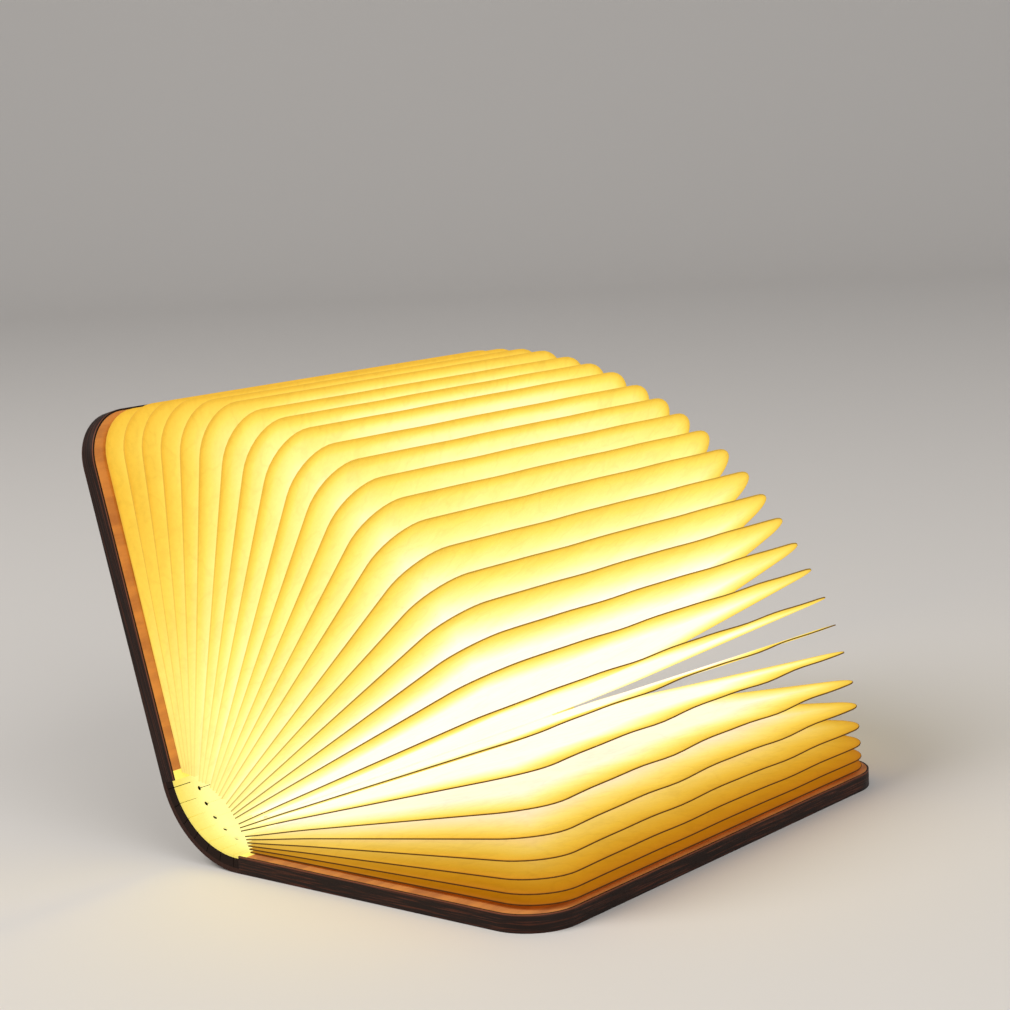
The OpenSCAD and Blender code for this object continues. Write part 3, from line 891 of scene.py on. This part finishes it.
def silicone_finish():
    silicone = Finish("link_silicone", Roughness=0.55)
    cloudy = silicone.noise(3 * MM, 3)
    fine = silicone.noise(0.4 * MM, 3)
    glow = silicone.mix(cloudy, SILICONE_WARM, SILICONE_BRIGHT)
    silicone.feed({"Base Color": silicone.mix(cloudy, SILICONE_DARK, SILICONE_PALE),
        "Emission Color": glow, "Emission Strength": 0.7, "Roughness": 0.45 + 0.2 * fine,
        "Normal": silicone.bump(fine, 0.02 * MM)})
    return silicone.material


def metal_finish(name, dark, pale, grain_along, rough, depth):
    metal = Finish(name, Metallic=1.0)
    drawn = metal.noise(DRAWN_SIZE, 4, 0.6, metal.stretched(*grain_along))
    haze = metal.noise(3 * MM, 3)
    metal.feed({"Base Color": metal.mix(drawn * 0.6 + haze * 0.4, dark, pale),
        "Roughness": rough + 0.15 * haze + 0.08 * drawn, "Normal": metal.bump(drawn, depth)})
    return metal.material


def strip_finish():
    strip = Finish("light_strip", Roughness=0.5)
    speck = strip.noise(0.6 * MM, 3)
    cell = strip.add("TexWave", {"bands_direction": "Y"}, {"Vector": strip.place(),
        "Scale": 1 / CHIP_STEP, "Distortion": 0.0})
    glow = strip.mix(cell, CHIP_WARM, CHIP_BRIGHT)
    strip.feed({"Base Color": strip.mix(speck, STRIP_DARK, STRIP_PALE),
        "Emission Color": glow, "Emission Strength": 1.6, "Roughness": 0.4 + 0.2 * speck,
        "Normal": strip.bump(speck, 0.01 * MM)})
    return strip.material


def pin_finish():
    """Drawn wire, whose ends catch the glow of the links that they stand in."""
    pin = Finish("pin_steel", Metallic=1.0)
    drawn = pin.noise(DRAWN_SIZE, 4, 0.6, pin.stretched(1, 0.05, 1))
    haze = pin.noise(3 * MM, 3)
    # Painted light: the pin ends get the glow of the links as emission.
    end = (abs(pin.axis(1)) / MM).ramp(PIN_END / MM - 0.4, PIN_END / MM - 0.1)
    pin.feed({"Base Color": pin.mix(drawn * 0.6 + haze * 0.4, WIRE_DARK, WIRE_PALE),
        "Roughness": 0.35 + 0.15 * haze + 0.08 * drawn, "Normal": pin.bump(drawn, 0.01 * MM),
        "Emission Color": pin.mix(end, NO_GLOW, WIRE_GLOW), "Emission Strength": PAINTED_GLOW_STRENGTH})
    return pin.material


silicone = silicone_finish()
pin_steel = pin_finish()
light_strip = strip_finish()
for number in range(LINKS):
    finish_node(f"spine_link_{number + 1}", silicone, 0.06 * MM)
for number in range(len(PINS)):
    finish_node(f"hinge_pin_{number + 1}", pin_steel)
for number in range(LIT_LINKS):
    finish_node(f"led_strip_{number + 1}", light_strip)
print("spine parts finished")

# %% [markdown]
# ## Inside the lower cover
#
# The battery is a foil pouch with a crimped end, the circuit board green lacquer over copper, and the
# port a plated steel shell. They are covered by the endpaper, but a library part is often taken
# apart, so each has its own finish.

# %% Battery, circuit, port, sensor and magnets
FOIL_DARK = (0.52, 0.53, 0.55)
FOIL_PALE = (0.74, 0.75, 0.77)
LACQUER = (0.012, 0.095, 0.035)
LACQUER_ON_COPPER = (0.040, 0.22, 0.085)
BLACK_DARK = (0.012, 0.012, 0.013)
BLACK_PALE = (0.035, 0.034, 0.033)
PORT_DARK = (0.50, 0.50, 0.50)
PORT_PALE = (0.72, 0.71, 0.70)
NICKEL_DARK = (0.60, 0.60, 0.62)
NICKEL_PALE = (0.80, 0.79, 0.78)


def pouch_finish():
    pouch = Finish("battery_foil", Metallic=0.9)
    crumple = pouch.add("TexVoronoi", {"feature": "SMOOTH_F1"}, {"Vector": pouch.place(),
        "Scale": 1 / (3 * MM)})
    haze = pouch.noise(5 * MM, 3)
    pouch.feed({"Base Color": pouch.mix(haze, FOIL_DARK, FOIL_PALE),
        "Roughness": 0.3 + 0.2 * haze, "Normal": pouch.bump(crumple, 0.15 * MM)})
    return pouch.material


def lacquer_finish():
    lacquer = Finish("circuit", Roughness=0.3)
    cells = lacquer.add("TexVoronoi", {"distance": "CHEBYCHEV"}, {"Vector": lacquer.place(),
        "Scale": 1 / (1.3 * MM)})
    tracks = cells.ramp(0.30, 0.34) * (1 - cells.ramp(0.42, 0.46))
    haze = lacquer.noise(2 * MM, 3)
    colour = lacquer.mix(tracks, LACQUER, LACQUER_ON_COPPER)
    lacquer.feed({"Base Color": colour, "Roughness": 0.2 + 0.2 * haze,
        "Normal": lacquer.bump(tracks, 0.03 * MM)})
    return lacquer.material


def moulding_finish():
    moulding = Finish("chip_black", Roughness=0.5)
    grit = moulding.noise(0.12 * MM, 3)
    haze = moulding.noise(1 * MM, 2)
    moulding.feed({"Base Color": moulding.mix(haze, BLACK_DARK, BLACK_PALE),
        "Roughness": 0.4 + 0.25 * grit, "Normal": moulding.bump(grit, 0.01 * MM)})
    return moulding.material


finish_node("battery", pouch_finish(), 0.25 * MM)
finish_node("circuit_board", lacquer_finish(), 0.04 * MM)
finish_node("hall_sensor", moulding_finish(), 0.05 * MM)
port_steel = metal_finish("port_steel", PORT_DARK, PORT_PALE, (1, 0.1, 1), 0.25, 0.01 * MM)
finish_node("charge_port", port_steel, 0.06 * MM)
magnet_plate = metal_finish("magnet_plate", NICKEL_DARK, NICKEL_PALE, (1, 1, 1), 0.18, 0.005 * MM)
for side in ("lower", "upper"):
    finish_node(side + "_magnets", magnet_plate, 0.10 * MM)
print("electrics finished")
